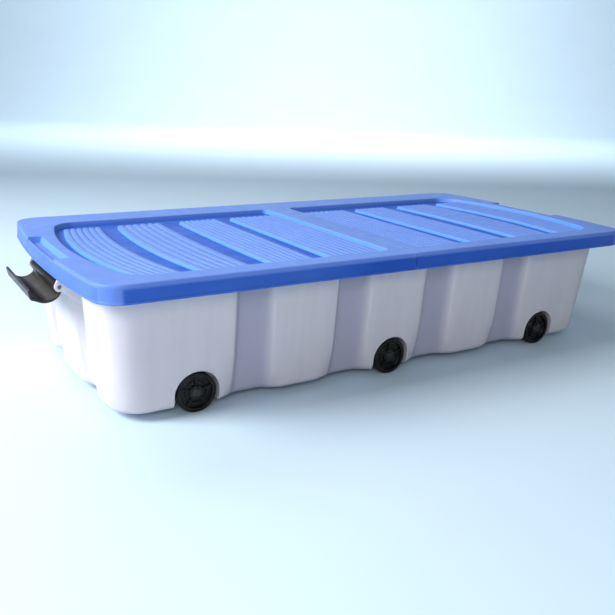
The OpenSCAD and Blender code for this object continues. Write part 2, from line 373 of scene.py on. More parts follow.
def painted_wall_highlight(tree, parts, depth):
    """Share of painted highlight, paler, on the walls in the lid's panels and pockets that are upright in
    the world.
    """
    facing = split(tree, add(tree, "ShaderNodeNewGeometry").outputs["Normal"])
    upright = ramp(tree, math_node(tree, "ABSOLUTE", facing["Z"]), 1, 0, 0.5, 0.85)
    across = math_node(tree, "ABSOLUTE", math_node(tree, "SUBTRACT", parts["Y"], PANEL_Y))
    half = HALF_W - FRONT_RIM + PANEL_Y
    inside = ramp(tree, across, 1, 0, half - 4 * mm, half + 2 * mm)
    inner = math_node(tree, "MULTIPLY", inside, ramp(tree, depth, 0, 1, *SKIRT_FADE))
    return math_node(tree, "MULTIPLY", upright, inner)


def lid_plastic():
    """Blue polypropylene: matt high faces made paler by painted sheen, smooth floors made deep blue by
    painted shade, painted highlight on the end skirts and upright walls, flow marks and rubbed edges.
    """
    material, tree, shader = nodes_of("lid_blue_plastic")
    # high is the paler colour of the painted sheen on high faces, low the deep blue of the painted shade on
    # the floors
    high = clouds(tree, 9, 4, (0.105, 0.21, 0.63), (0.122, 0.238, 0.69))
    low = clouds(tree, 12, 4, (0.016, 0.080, 0.44), (0.022, 0.098, 0.52))
    parts = split(tree, add(tree, "ShaderNodeTexCoord").outputs["Object"])
    depth = end_depth(tree, parts)
    # Painted light: the end skirts, and the top and pocket within 24 mm of the ends, are lifted towards the
    # paler colour
    painted_light_at_ends = math_node(tree, "MULTIPLY", ramp(tree, depth, 0.5, 0.8, *SKIRT_FADE),
                                 ramp(tree, depth, 1, 0, 20 * mm, 24 * mm))
    # Painted sheen and shade by height: the higher a face, the more of the paler colour it takes
    height = ramp(tree, parts["Z"], 0, 1, TOP - PANEL_DEPTH + 0.6 * mm, TOP - 3.4 * mm)
    level = math_node(tree, "MAXIMUM", height, painted_light_at_ends)
    flow = ramp(tree, noise(tree, 14, 5, (0.4, 3, 1)), 0, 0.3)
    colour = mixed(tree, flow, mixed(tree, level, low, high), (0.10, 0.215, 0.65))
    # Painted highlight: the upright walls of the panels and pockets are lifted to a paler cyan
    colour = mixed(tree, painted_wall_highlight(tree, parts, depth), colour, (0.12, 0.31, 0.78))
    feed(tree, shader, {
        "Base Color": mixed(tree, edge_wear(tree), colour, (0.16, 0.31, 0.80)),
        "Roughness": math_node(tree, "MULTIPLY_ADD", level, 0.06, ramp(tree, noise(tree, 55, 5), 0.38, 0.5)),
        "Specular IOR Level": math_node(tree, "MULTIPLY_ADD", level, 0.38, 0.1),
        "Subsurface Weight": 0.08,
        "Subsurface Radius": (0.002, 0.003, 0.008)})
    bump(tree, shader, [(noise(tree, 1400, 2), 0.0004, 0.35), (noise(tree, 40, 3), 0.001, 0.12)])
    return material


def painted_recess_shade(tree):
    """Share of painted shade on the side recesses' floors, by their depth behind the drafted wall."""
    parts = split(tree, add(tree, "ShaderNodeTexCoord").outputs["Object"])
    across = math_node(tree, "ABSOLUTE", parts["Y"])
    slope = (BASE_SIDE - TOP_SIDE) / (SHOULDER_Z - TUB_LOW.z)
    wall = math_node(tree, "MULTIPLY_ADD", parts["Z"], slope, HALF_W - BASE_SIDE - slope * TUB_LOW.z)
    depth = math_node(tree, "SUBTRACT", wall, across)
    share = ramp(tree, depth, 0, 0.85, 1.5 * mm, 10 * mm)
    along = math_node(tree, "ABSOLUTE", parts["X"])
    return math_node(tree, "MULTIPLY", share, ramp(tree, along, 1, 0, 236 * mm, 246 * mm))


def tub_plastic():
    """Frosted translucent polypropylene with upright flow marks, a fine matt grain and painted shade in the
    side recesses.
    """
    material, tree, shader = nodes_of("tub_frosted_plastic")
    colour = clouds(tree, 7, 4, (0.78, 0.75, 0.81), (0.85, 0.82, 0.87))
    streaks = ramp(tree, noise(tree, 26, 4, (3.0, 3.0, 0.25)), 0, 0.5)
    colour = mixed(tree, streaks, colour, (0.71, 0.69, 0.78))
    # Painted shade: the floors of the side recesses are darkened
    colour = mixed(tree, painted_recess_shade(tree), colour, (0.50, 0.50, 0.64))
    feed(tree, shader, {
        "Base Color": mixed(tree, edge_wear(tree), colour, (0.92, 0.92, 0.94)),
        "Roughness": ramp(tree, noise(tree, 45, 5), 0.36, 0.5),
        "Transmission Weight": 0.3,
        "IOR": 1.3,
        "Subsurface Weight": 0.35,
        "Subsurface Radius": (0.012, 0.011, 0.010)})
    bump(tree, shader, [(noise(tree, 1100, 2), 0.0003, 0.3), (noise(tree, 30, 3, (2, 2, 0.3)), 0.001, 0.15)])
    return material


def black_plastic(name, rough, grain, tint, dusty, sheen=0.5):
    """Black moulded plastic with grain, a little dust and paler rubbed edges."""
    material, tree, shader = nodes_of(name)
    dark, pale = (tuple(level * t for t in tint) for level in (0.004, 0.010))
    dust = ramp(tree, noise(tree, 90, 6), 0, dusty, 0.5, 0.78)
    colour = mixed(tree, dust, clouds(tree, 30, 5, dark, pale), (0.045, 0.04, 0.032))
    feed(tree, shader, {
        "Base Color": mixed(tree, edge_wear(tree), colour, tuple(0.07 * t for t in tint)),
        "Roughness": ramp(tree, noise(tree, 120, 5), rough - 0.07, rough + 0.09),
        "Specular IOR Level": sheen})
    bump(tree, shader, [(noise(tree, grain, 2), 0.0003, 0.4), (noise(tree, 150, 3), 0.0006, 0.15)])
    return material


def rod_steel():
    """Drawn steel wire: marks along its length and a little dulling."""
    material, tree, shader = nodes_of("drawn_steel")
    feed(tree, shader, {
        "Base Color": clouds(tree, 300, 5, (0.14, 0.14, 0.15), (0.24, 0.24, 0.25)),
        "Metallic": 1.0,
        "Roughness": ramp(tree, noise(tree, 500, 4, (1, 0.1, 1)), 0.25, 0.42)})
    bump(tree, shader, [(noise(tree, 1500, 2, (1, 0.05, 1)), 0.0002, 0.4)])
    return material


def floor_paint():
    """Pale matt studio floor."""
    material, tree, shader = nodes_of("studio_floor")
    colour = clouds(tree, 3, 3, (0.58, 0.74, 0.87), (0.60, 0.755, 0.88))
    feed(tree, shader, {"Base Color": colour, "Roughness": 0.7})
    return material


LID = lid_plastic()
TUB = tub_plastic()
HANDLE = black_plastic("handle_black_plastic", 0.38, 900, (1.9, 1.6, 1.25), 0.35)
WHEEL = black_plastic("wheel_black_plastic", 0.3, 1300, (0.5, 0.5, 0.45), 0.05, 0.25)
AXLE = black_plastic("axle_black_plastic", 0.25, 1500, (1.0, 1.0, 1.0), 0.1)
STEEL = rod_steel()


# ---------- lid ----------

FLOOR_INSET = 1.2 * mm
U0 = STRIP_HALF + FLOOR_INSET
U1 = HALF_L - END_RIM - FLOOR_INSET
HALF_PANEL = HALF_W - (FRONT_RIM + BACK_RIM) / 2 - FLOOR_INSET
CORNER_LINES = 9


def corner_lines():
    """u of the lines through the panel's two rounded corners, evenly spread in angle."""
    steps = [math.radians(90 * i / CORNER_LINES) for i in range(CORNER_LINES + 1)]
    strip = [U0 + STRIP_CORNER * (1 - math.cos(a)) for a in steps]
    end = [U1 - PANEL_CORNER * (1 - math.cos(a)) for a in reversed(steps)]
    return strip, end


def band_lines():
    """u of the lines that carry the ribs' profile and the bands' flanks, and of a few between them."""
    lines = []
    for start, stop, ribs in BANDS:
        pitch = (stop - start) / ribs
        for rib in range(ribs):
            shares = (0.0, 0.07, 0.16, 0.3, 0.5, 0.7, 0.84, 0.93)
            lines += [start + (rib + s) * pitch for s in shares]
        lines += [start - 0.3 * mm, start + 0.3 * mm, stop - 0.3 * mm, stop, stop + 0.3 * mm]
        lines += [stop + 8 * mm, start - 7 * mm]
    return lines


def panel_lines():
    """All u lines in order, without near doubles, and the number of steps round the end corner."""
    strip, end = corner_lines()
    kept = []
    for u in sorted([u for u in band_lines() if strip[-1] + 0.4 * mm < u < end[-1] - 0.4 * mm] + end):
        if kept and u - kept[-1] < 0.25 * mm:
            if u not in end:
                continue
            if kept[-1] not in end:
                kept.pop()
        kept.append(u)
    return strip + kept, len(kept) - 1 - kept.index(end[0])


def cross_lines():
    """y of the lines across the panel, dense at the bands' back ends and at the pocket's sides."""
    half = HALF_PANEL
    spread = half / (half - PANEL_CORNER)
    side = in_mm(0, 15, 30, 45, 58, 69)
    side += [(POCKET_HALF + k * mm) * spread for k in (-0.8, -0.4, 0, 0.4, 1.4, 2.4)]
    side += in_mm(88, 96, 104, 112)
    ends = [BAND_BACK + k * mm for k in (
        -8, -6.6, -5.4, -4.4, -3.5, -2.7, -2, -1.4, -0.8, -0.3, 0.2, 0.8, 1.6, 3)]
    back = [BAND_BACK + k * mm for k in (5, 12, 19)] + [half - 5 * mm, half - 2 * mm, half]
    front = in_mm(122, 132, 142) + [half - 6 * mm, half - 2.5 * mm, half]
    return [-y for y in reversed(side[1:] + front)] + side + ends + sorted(back)


def panel_half(u):
    """Half width of the panel floor at u, with its rounded corners."""
    if u < U0 + STRIP_CORNER:
        r, t = STRIP_CORNER, U0 + STRIP_CORNER - u
    elif u > U1 - PANEL_CORNER:
        r, t = PANEL_CORNER, u - (U1 - PANEL_CORNER)
    else:
        return HALF_PANEL
    return HALF_PANEL - r + math.sqrt(max(r * r - t * t, 0))


def bow_at(u):
    """Bow of the line at u, per square of the distance across: none near the fold, growing to the end."""
    return PANEL_BOW * max(u - 160 * mm, 0) / (200 * mm)


def rib_height(u, y):
    """Height of the ribbed bands over the panel floor."""
    for start, stop, ribs in BANDS:
        if start - 0.35 * mm < u < stop + 0.35 * mm:
            pitch = (stop - start) / ribs
            phase = min(max((u - start) / pitch, 0.0), ribs - 1e-6) % 1.0
            across = 2 * phase - 1
            dome = math.sqrt(max(1 - across * across, 0))
            height = RIB_VALLEY + (RIB_CREST - RIB_VALLEY) * dome
            flank = ease((min(u - start, stop - u) + 0.3 * mm) / (0.7 * mm))
            tip = BAND_BACK - 0.45 * pitch * (1 - dome)
            return height * flank * ease((tip - y) / (1.7 * mm) + 0.5)
    return 0.0


def under_height(u, y):
    """Height of the bands' hollow undersides over the pan's underside."""
    for start, stop, _ in BANDS:
        inside = min(u - start, stop - u) - PANEL_WALL
        if inside > 0:
            return RIB_VALLEY * ease(inside / (1.2 * mm)) * ease((BAND_BACK - PANEL_WALL - y) / (2.5 * mm))
    return 0.0


def panel_point(u, y_line):
    """Place on the panel of the grid point where two lines cross."""
    y = y_line / HALF_PANEL * panel_half(u)
    return u - bow_at(u) * y * y, y


def fold_offset(d):
    """Distance from the fold line of the ring that lies d inside the lid's edge."""
    return max(d - EDGE_D, 0) * 0.55


EDGE_D = 3.2 * mm
FOLD_INDEX = 5
FOLD_STEPS = [149 * mm, 156 * mm, SLIT_FROM - 0.6 * mm, SLIT_FROM + 0.6 * mm, 186 * mm, HALF_W]
SIDE_STEPS = in_mm(6, 12, 18, 25)


def fold_place(y, d):
    """Point on the fold line's ring at the place y."""
    start = 150 * mm
    reach = abs(y) if abs(y) < start else start + (abs(y) - start) * (HALF_W - start - d) / (HALF_W - start)
    x = (SLIT_X if abs(y) > SLIT_FROM else FOLD_X) + fold_offset(d)
    return x, math.copysign(reach, y)


def lid_corner_centre():
    """Centre of the lid's outer corner and the lean of the bowed end where the corner starts."""
    y = HALF_W - LID_CORNER
    for _ in range(8):
        lean = math.atan(2 * LID_BOW * y)
        y = HALF_W - LID_CORNER + LID_CORNER * math.sin(lean)
    return HALF_L - LID_BOW * y * y - LID_CORNER * math.cos(lean), HALF_W - LID_CORNER, lean


CORNER_X, CORNER_Y, LEAN = lid_corner_centre()
U_LINES, CORNER_STEPS = panel_lines()


def side_ring(us, d):
    """One side of the ring at d inside the lid's edge, from the fold to the corner's end, y positive."""
    edge = HALF_W - d
    first = SLIT_X + fold_offset(d)
    start = FOLD_INDEX + len(SIDE_STEPS)
    points = [(first, edge)]
    points += [(first + s * (SIDE_STEPS[-1] - first) / SIDE_STEPS[-1], edge) for s in SIDE_STEPS]
    stop = len(us) - CORNER_STEPS - 1
    x_of = [us[i] - bow_at(us[i]) * HALF_PANEL**2 for i in range(start, stop + 1)]
    for x in x_of[1:]:
        share = (x - x_of[0]) / (x_of[-1] - x_of[0])
        points.append((SIDE_STEPS[-1] + share * (CORNER_X - SIDE_STEPS[-1]), edge))
    for u in us[stop + 1:]:
        turn = math.asin(min((u - us[stop]) / PANEL_CORNER, 1)) / (math.pi / 2)
        a = math.pi / 2 + (LEAN - math.pi / 2) * turn
        points.append((CORNER_X + (LID_CORNER - d) * math.cos(a), CORNER_Y + (LID_CORNER - d) * math.sin(a)))
    return points


def end_ring(ys, d):
    """End side of the ring at d inside the lid's edge, between the two corners, from front to back."""
    kept, reach, far, start = [], HALF_PANEL - PANEL_CORNER, CORNER_Y - 6 * mm, 80 * mm
    for y_line in ys[1:-1]:
        y = abs(y_line) / HALF_PANEL * reach
        if y > start:
            y = start + (y - start) * (far - start) / (reach - start)
        y = math.copysign(y, y_line)
        lean = math.atan(2 * LID_BOW * y)
        kept.append((HALF_L - LID_BOW * y * y - d / math.cos(lean), y))
    return kept


def outer_ring(us, ys, d):
    """Open ring from the fold line at the front, round the end, to the fold line at the back."""
    side = side_ring(us, d)
    return [(x, -y) for x, y in side] + end_ring(ys, d) + list(reversed(side))


def fold_ring(ys, d):
    """The ring's stretch along the fold line, from back to front, between its two corner points."""
    inner = [math.copysign(FOLD_STEPS[0] * abs(y) / HALF_PANEL, y) for y in ys[1:-1]]
    steps = list(reversed(FOLD_STEPS[:-1]))
    places = steps + list(reversed(inner)) + [-s for s in reversed(steps)]
    return [fold_place(y, d) for y in places]


def boundary_indices(nu, nv):
    """Grid places (i, j) round the panel: the outer stretch, then the stretch along the strip."""
    outer = [(i, 0) for i in range(FOLD_INDEX, nu)]
    outer += [(nu - 1, j) for j in range(1, nv - 1)]
    outer += [(i, nv - 1) for i in range(nu - 1, FOLD_INDEX - 1, -1)]
    strip = [(i, nv - 1) for i in range(FOLD_INDEX - 1, -1, -1)]
    strip += [(0, j) for j in range(nv - 2, 0, -1)]
    strip += [(i, 0) for i in range(0, FOLD_INDEX)]
    return outer, strip


def outward(points):
    """Unit normals of a closed ring that runs anticlockwise."""
    p = np.array(points)
    tangent = np.roll(p, -1, 0) - np.roll(p, 1, 0)
    length = np.hypot(tangent[:, 0], tangent[:, 1])
    return np.stack([tangent[:, 1] / length, -tangent[:, 0] / length], 1)


def grown(points, normals, out):
    """The ring moved outwards along its normals."""
    return [(x + nx * out, y + ny * out) for (x, y), (nx, ny) in zip(points, normals)]


# Panel wall: (distance outside the panel floor, share of the way up)
WALL_STEPS = [(0.5 * mm, 0.03), (0.95 * mm, 0.14), (1.25 * mm, 0.45), (1.5 * mm, 0.8), (1.8 * mm, 0.93),
              (2.3 * mm, 0.985), (3.0 * mm, 1.0)]
# Rim rings by their distance inside the lid's edge; the pocket lies between the two groups
RIM_STEPS = in_mm(26, 19.4, 18.9, 18.3, 16.9, 15.5, 14.8, 14.0, 9, 4.9, 4.5, 4.0, 3.5)
# Outer face of the skirt: (distance inside the lid's edge, drop below the top)
SKIRT_OUTER = [in_mm(*row) for row in (
    (2.3, 0.2), (1.6, 0.65), (1.15, 1.3), (0.95, 2.4), (0.85, 7), (0.7, 13), (0.62, 17.4), (0.55, 17.8),
    (0.1, 18.3), (0.0, 18.8), (0.0, 20.2), (0.25, 20.8), (0.8, 21))]
SKIRT_INNER = [in_mm(*row) for row in (
    (4.2, 2.4), (3.6, 2.5), (3.25, 2.9), (3.1, 3.8), (3.0, 6), (2.9, 9.5), (2.8, 12), (2.72, 14.5),
    (2.66, 16.5), (2.6, 18), (2.5, 19.6), (2.3, 20.5), (1.7, 20.95))]
UNDER_STEPS = in_mm(9, 17, 20.0, 20.6, 21.4, 24)
# Underside of the pan: (distance outside the panel floor, drop below the top)
PAN_UNDER = [in_mm(*row) for row in (
    (5.4, 2.4), (5.0, 3.0), (4.6, 7.9), (4.1, 8.8), (3.1, 9.2), (1.5, 9.2))]


def in_pocket(y, half=POCKET_HALF):
    """Share of the pocket's depth at the place y."""
    return ease((half + 0.4 * mm - abs(y)) / (0.8 * mm))


def rim_drop(d, x, y):
    """Drop of the rim's top face below the lid's top at the distance d inside the edge."""
    if x < HALF_L / 2:
        return 0.0
    inner = ease((18.9 * mm - d) / (4.1 * mm))
    lip = ease((d - 3.5 * mm) / (1.2 * mm))
    depth = LIP_DROP + (PANEL_DEPTH - LIP_DROP) * lip if d < 9 * mm else PANEL_DEPTH * inner
    return depth * in_pocket(y)


def skirt_drop(drop, x, y):
    """Drop of a point on the skirt's face, lowered at the pocket's lip."""
    low = 6 * mm
    share = in_pocket(y) if x > HALF_L / 2 else 0.0
    lowered = LIP_DROP + drop * (low - LIP_DROP) / low if drop < low else drop
    return drop + (lowered - drop) * share


def under_drop(drop, d, x, y):
    """Drop of the underside, lowered below the pocket's pan."""
    if x < HALF_L / 2:
        return drop
    share = in_pocket(y, POCKET_HALF + PANEL_WALL - 0.4 * mm) * ease((21 * mm - d) / (1.2 * mm))
    return drop + (max(PANEL_DEPTH + PANEL_WALL, drop) - drop) * share


def lid_mesh():
    """Points and faces of the right-hand lid half."""
    us, ys = U_LINES, cross_lines()
    nu, nv = len(us), len(ys)
    verts, faces = [], []

    def grid(height, base):
        start = len(verts)
        for u in us:
            for y_line in ys:
                x, y = panel_point(u, y_line)
                verts.append((x, y + PANEL_Y, base + height(u, y)))
        for i in range(nu - 1):
            for j in range(nv - 1):
                a = start + i * nv + j
                faces.append((a, a + nv, a + nv + 1, a + 1))
        return start

    def ring(points, drops):
        start = len(verts)
        verts.extend((x, y, TOP - drop) for (x, y), drop in zip(points, drops))
        return list(range(start, start + len(points)))

    def whole_ring(d, drop_of):
        points = outer_ring(us, ys, d) + fold_ring(ys, d)
        return ring(points, [drop_of(*p) for p in points])

    def grow(last, new, closed=True):
        faces.extend(bridge(last, new, closed))
        return new

    outer, strip = boundary_indices(nu, nv)
    top_grid = grid(rib_height, TOP - PANEL_DEPTH)
    floor_ring = [top_grid + i * nv + j for i, j in outer + strip]
    flat = [verts[k][:2] for k in floor_ring]
    normals = outward(flat)

    # Panel wall, rising from the floor or from the ribs that run into it
    last = floor_ring
    for out, share in WALL_STEPS:
        drops = [(TOP - verts[k][2]) * (1 - share) for k in floor_ring]
        last = grow(last, ring(grown(flat, normals, out), drops))
    for d in RIM_STEPS + [EDGE_D]:
        last = grow(last, whole_ring(d, lambda x, y, d=d: rim_drop(d, x, y)))
    edge = last
    m = len(outer)

    # Skirt, outer face down and inner face up
    open_last, outer_ends = edge[:m], [(edge[0], edge[m - 1])]
    for d, drop in SKIRT_OUTER:
        points = outer_ring(us, ys, d)
        open_last = grow(open_last, ring(points, [skirt_drop(drop, *p) for p in points]), False)
        outer_ends.append((open_last[0], open_last[-1]))
    inner_ends = []
    for d, drop in reversed(SKIRT_INNER[1:]):
        points = outer_ring(us, ys, d)
        open_last = grow(open_last, ring(points, [under_drop(drop, d, *p) for p in points]), False)
        inner_ends.append((open_last[0], open_last[-1]))

    # Underside, from the skirt to the pan
    d, drop = SKIRT_INNER[0]
    under_edge = whole_ring(d, lambda x, y: under_drop(drop, d, x, y))
    for k in range(m, len(under_edge)):
        x, y, z = verts[under_edge[k]]
        verts[under_edge[k]] = (SLIT_X if abs(y) > SLIT_FROM else FOLD_X, y, z)
    faces.extend(bridge(open_last, under_edge[:m], closed=False))
    inner_ends.append((under_edge[0], under_edge[m - 1]))
    for index in (0, m - 1):
        x, y, z = verts[under_edge[index]]
        verts[under_edge[index]] = (SLIT_X, y, z)
    last = under_edge
    for d in UNDER_STEPS:
        last = grow(last, whole_ring(d, lambda x, y, d=d: under_drop(LID_WALL, d, x, y)))
    for out, drop in PAN_UNDER:
        last = grow(last, ring(grown(flat, normals, out), [drop] * len(flat)))
    under_grid = grid(under_height, TOP - PANEL_DEPTH - PANEL_WALL)
    faces.extend(bridge(last, [under_grid + i * nv + j for i, j in outer + strip]))

    # Faces on the fold plane: the plate's edge, then the ends of the skirt
    top_fold = edge[m - 1:] + [edge[0]]
    low_fold = under_edge[m - 1:] + [under_edge[0]]
    faces.extend(bridge(top_fold, low_fold, closed=False))
    inner_ends.reverse()
    for side in (0, 1):
        face_ends, back_ends = [e[side] for e in outer_ends], [e[side] for e in inner_ends]
        faces.extend(bridge(face_ends[:-1], back_ends, closed=False))
        faces.append((face_ends[-2], face_ends[-1], back_ends[-1]))
    return verts, faces


def lid_halves():
    """The right half and its mirror image."""
    verts, faces = lid_mesh()
    for name, sign in (("lid_right", 1), ("lid_left", -1)):
        piece = object_from(name + "_shell", [(sign * x, y, z) for x, y, z in verts], faces, LID)
        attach(piece, name)
        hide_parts(name)


lid_halves()

# ---------- tub ----------

BASE_Z = TUB_LOW.z
# Rows of recesses in the walls: their middles, the width of a mouth and that of a floor
SIDE_ROW = (67 * mm, 202 * mm), 54 * mm, 30 * mm
END_ROW = (70 * mm,), 44 * mm, 22 * mm
BULGE_ROUND = 55 * mm
SIDE_SPREAD, END_SPREAD = 14 * mm, 12 * mm
WHEEL_RADIUS = 24 * mm
WHEEL_SPACING = 271 * mm
WHEEL_FACE = HALF_W - 42 * mm
BEAD = 0.8 * mm
ARCH_STEPS = 48


def recess(s, row, spread):
    """Depth share of a row of recesses at the place s, their flanks widened by spread: 1 on a floor."""
    middles, mouth, flat = row
    flank = (mouth - flat) / 2 + spread
    share = max((mouth / 2 + spread - abs(abs(s) - m)) / flank for m in middles)
    return 0.5 - 0.5 * math.cos(math.pi * min(max(share, 0.0), 1.0))


def spread_at(z, most):
    """Widening of the recesses' flanks near the base, where the bulges round off."""
    return most * max(1 - (z - BASE_Z) / BULGE_ROUND, 0.0) ** 2


def over_recess(middle, row, steps=8):
    """Places over a recess, dense on its two flanks."""
    _, mouth, flat = row
    flank = (mouth - flat) / 2
    near = [middle - mouth / 2 + flank * i / steps for i in range(steps + 1)]
    far = [middle + flat / 2 + flank * i / steps for i in range(steps + 1)]
    return near + [middle - flat / 4, middle, middle + flat / 4] + far


END_PLACES = in_mm(0, 12, 24, 36) + over_recess(END_ROW[0][0], END_ROW) + in_mm(100, 109)
SIDE_PLACES = in_mm(0, 14, 28, 112, 130, 146, 161, 242, 256, 271, 286, 299, 309)
for recess_middle in SIDE_ROW[0]:
    SIDE_PLACES += over_recess(recess_middle, SIDE_ROW)
SIDE_PLACES.sort(reverse=True)


def tub_ring(level, thick):
    """Outline of the tub at one level: (z, end inset, side inset, corrugation share, corner radius)."""
    z, end, side, share, radius = level
    hl, hw, r = HALF_L - end - thick, HALF_W - side - thick, radius - thick
    tangent = hw - r + r * math.sin(math.atan(2 * LID_BOW * (hw - r)))
    lean = math.atan(2 * LID_BOW * tangent)
    cx, cy = hl - LID_BOW * tangent**2 - r * math.cos(lean), hw - r
    quarter = []
    for y in END_PLACES:
        depth = END_RECESS * share * recess(y, END_ROW, spread_at(z, END_SPREAD))
        quarter.append((hl - LID_BOW * y * y - depth, y))
    quarter += arc(cx, cy, r, lean, math.pi / 2, 14)
    for x in SIDE_PLACES:
        depth = CORRUGATION * share * recess(x, SIDE_ROW, spread_at(z, SIDE_SPREAD))
        quarter.append((x, hw - depth))
    half = quarter + [(-x, y) for x, y in reversed(quarter[:-1])]
    return half + [(x, -y) for x, y in reversed(half[1:-1])]


def wall_level(z, extra=0.0):
    """Level on the wall's straight draft."""
    t = (z - BASE_Z) / (SHOULDER_Z - BASE_Z)
    end, side = BASE_END + (TOP_END - BASE_END) * t, BASE_SIDE + (TOP_SIDE - BASE_SIDE) * t
    return z, end + extra, side + extra, 1.0, WALL_CORNER


def floor_level(z, extra):
    """Level across the floor, past the recesses."""
    past = 3 * mm
    end, side = BASE_END + extra + END_RECESS + past, BASE_SIDE + extra + CORRUGATION + past
    return z, end, side, 0.0, WALL_CORNER - 12 * mm


def collar_level(z, inset=COLLAR_INSET):
    """Level of the plain collar or rim above the recesses."""
    return z, inset, inset, 0.0, LID_CORNER - inset


def between(a, b, t):
    """Level at the share t of the way from a to b."""
    return tuple(p + (q - p) * t for p, q in zip(a, b))


def round_levels(z, r, steps=6):
    """The rounded lower edge of radius r above the height z."""
    turn = [math.pi / 2 * i / steps for i in range(steps)]
    return [wall_level(z + r * (1 - math.cos(a)), r * (1 - math.sin(a))) for a in turn]


def wall_levels(z0, z1, steps=9):
    """Levels up the straight wall."""
    return [wall_level(z0 + (z1 - z0) * i / steps) for i in range(steps + 1)]


def shell_levels(base, r, shoulder_z, collar_z):
    """Levels of one face of the shell: floor, rounded edge, wall and the flare to the collar."""
    shoulder, collar = wall_level(shoulder_z), collar_level(collar_z)
    steps = [floor_level(base, r)] + round_levels(base, r) + wall_levels(base + r, shoulder_z)
    return steps + [between(shoulder, collar, t) for t in (0.2, 0.5, 0.8)] + [collar]


OUTER_LEVELS = shell_levels(BASE_Z, BASE_ROUND, SHOULDER_Z, COLLAR_Z)
INNER_LEVELS = shell_levels(BASE_Z + TUB_WALL, BASE_ROUND - TUB_WALL, SHOULDER_Z + 0.5 * mm,
                            COLLAR_Z + 1.5 * mm)


def strips(first, n):
    """Faces across a ring of n points whose point i has its twin at n - i."""
    faces = []
    for i in range(n // 2):
        a, b, c, d = first + i, first + i + 1, first + n - i - 1, first + (n - i) % n
        if i == 0:
            faces.append((a, b, c))
        elif i == n // 2 - 1:
            faces.append((a, b, d))
        else:
            faces.append((a, b, c, d))
    return faces


def stack(name, levels, material):
    """Closed solid over rings of equal length, given as (level, thickness)."""
    rows = [[(x, y, level[0]) for x, y in tub_ring(level, thick)] for level, thick in levels]
    verts, faces, ids = skin(rows)
    n = len(rows[0])
    return object_from(name, verts, faces + strips(0, n) + strips(ids[-1][0], n), material)


def rim_levels():
    """The flange round the tub's top, from the collar's outer face over its edge to the inner face."""
    low, r, nip, inner = TUB_TOP - RIM_THICK, 0.7 * mm, 0.2 * mm, COLLAR_INSET + TUB_WALL
    return [collar_level(z, inset) for z, inset in (
        (low - 0.8 * mm, COLLAR_INSET), (low - nip, COLLAR_INSET - nip), (low, COLLAR_INSET - 0.8 * mm),
        (low, RIM_INSET + r), (low + nip, RIM_INSET + nip), (low + r, RIM_INSET),
        (TUB_TOP - r, RIM_INSET), (TUB_TOP - nip, RIM_INSET + nip), (TUB_TOP, RIM_INSET + r),
        (TUB_TOP, inner - r), (TUB_TOP - nip, inner - nip))]


def arch_outline(radius, foot):
    """Round arch over a wheel's axle, open below, closed at the height foot."""
    return [(radius, foot)] + arc(0, WHEEL_RADIUS, radius, 0, math.pi, ARCH_STEPS) + [(-radius, foot)]


def wheel_places():
    """(x, side) of every wheel, side -1 at the front."""
    return [(place * WHEEL_SPACING, side) for side in (-1, 1) for place in (-1, 0, 1)]


def arches(name, radius, inner, outer):
    """An arch-shaped block at every wheel, between two distances from the middle."""
    made = []
    for x, side in wheel_places():
        outline = [(x + px, pz) for px, pz in arch_outline(radius, -1 * mm)]
        made.append(prism(f"{name}_{len(made)}", outline, side * inner, side * outer, TUB))
    return joined(name, made)


def round_bars(name, radius, spans, at):
    """Round bars along Y through the places at, each between two distances."""
    made = []
    for x, z in at:
        outline = arc(x, z, radius, 0, 2 * math.pi, 40)[:-1]
        made += [prism(f"{name}_{x}_{y0}", outline, y0, y1, TUB) for y0, y1 in spans]
    return joined(name, made)


def arch_beads():
    """Slim rounded bead round the mouth of every wheel arch."""
    foot = BASE_Z + 1.2 * mm
    legs = [foot + k * (WHEEL_RADIUS - foot) / 8 for k in range(8)]
    path = [(WELL_RADIUS, z, 1.0, 0.0) for z in legs]
    for nx, nz in arc(0, 0, 1, 0, math.pi, ARCH_STEPS):
        path.append((WELL_RADIUS * nx, WHEEL_RADIUS + WELL_RADIUS * nz, nx, nz))
    path += [(-WELL_RADIUS, z, -1.0, 0.0) for z in reversed(legs)]
    made, circle = [], arc(0, 0, BEAD, 0, 2 * math.pi, 10)[:-1]
    for x0, side in wheel_places():
        rows = []
        for x, z, nx, nz in path:
            y = side * (HALF_W - wall_level(z)[2] - base_rounding(z))
            rows.append([(x0 + x + out * nx, y + along, z + out * nz) for out, along in circle])
        made.append(tube(f"bead_{len(made)}", rows, TUB))
    return joined("beads", made)


def base_rounding(z):
    """How far the rounded lower edge draws the wall in at the height z."""
    share = 1 - (z - BASE_Z) / BASE_ROUND
    return BASE_ROUND * (1 - math.sqrt(1 - share * share)) if share > 0 else 0.0


def lug_outline():
    """Side view of a lug: a bracket under the collar with a round nose about the rod."""
    root_x, top = HALF_L - TOP_END - END_RECESS - 6 * mm, COLLAR_Z + 4 * mm
    nose = arc(PIVOT.x, PIVOT.z, LUG_RADIUS, math.radians(-112), math.radians(24), 22)
    return [(root_x, PIVOT.z - 26 * mm)] + nose + [(PIVOT.x - 3 * mm, top), (root_x, top)]


LUG_Y = 62.5 * mm


def lugs():
    """Two lugs at either end that carry the handle's rod."""
    made = []
    for end in (-1, 1):
        outline = [(end * x, z) for x, z in lug_outline()]
        for side in (-1, 1):
            made.append(prism(f"lug_{len(made)}", outline, side * LUG_Y, side * (LUG_Y + LUG_THICK), TUB))
    soft = joined("lugs", made)
    soften(soft, 0.5 * mm)
    return soft


def rim_notches():
    """Blocks that clear the rim below the lid's hook pockets."""
    low, half = TOP - PANEL_DEPTH - PANEL_WALL - 1 * mm, POCKET_HALF + 4 * mm
    made = []
    for end in (-1, 1):
        near, far = end * (HALF_L - 40 * mm), end * (HALF_L + 10 * mm)
        outline = [(near, low), (far, low), (far, low + 20 * mm), (near, low + 20 * mm)]
        made.append(prism(f"notch_{end}", outline, -half, half, TUB))
    return joined("notches", made)


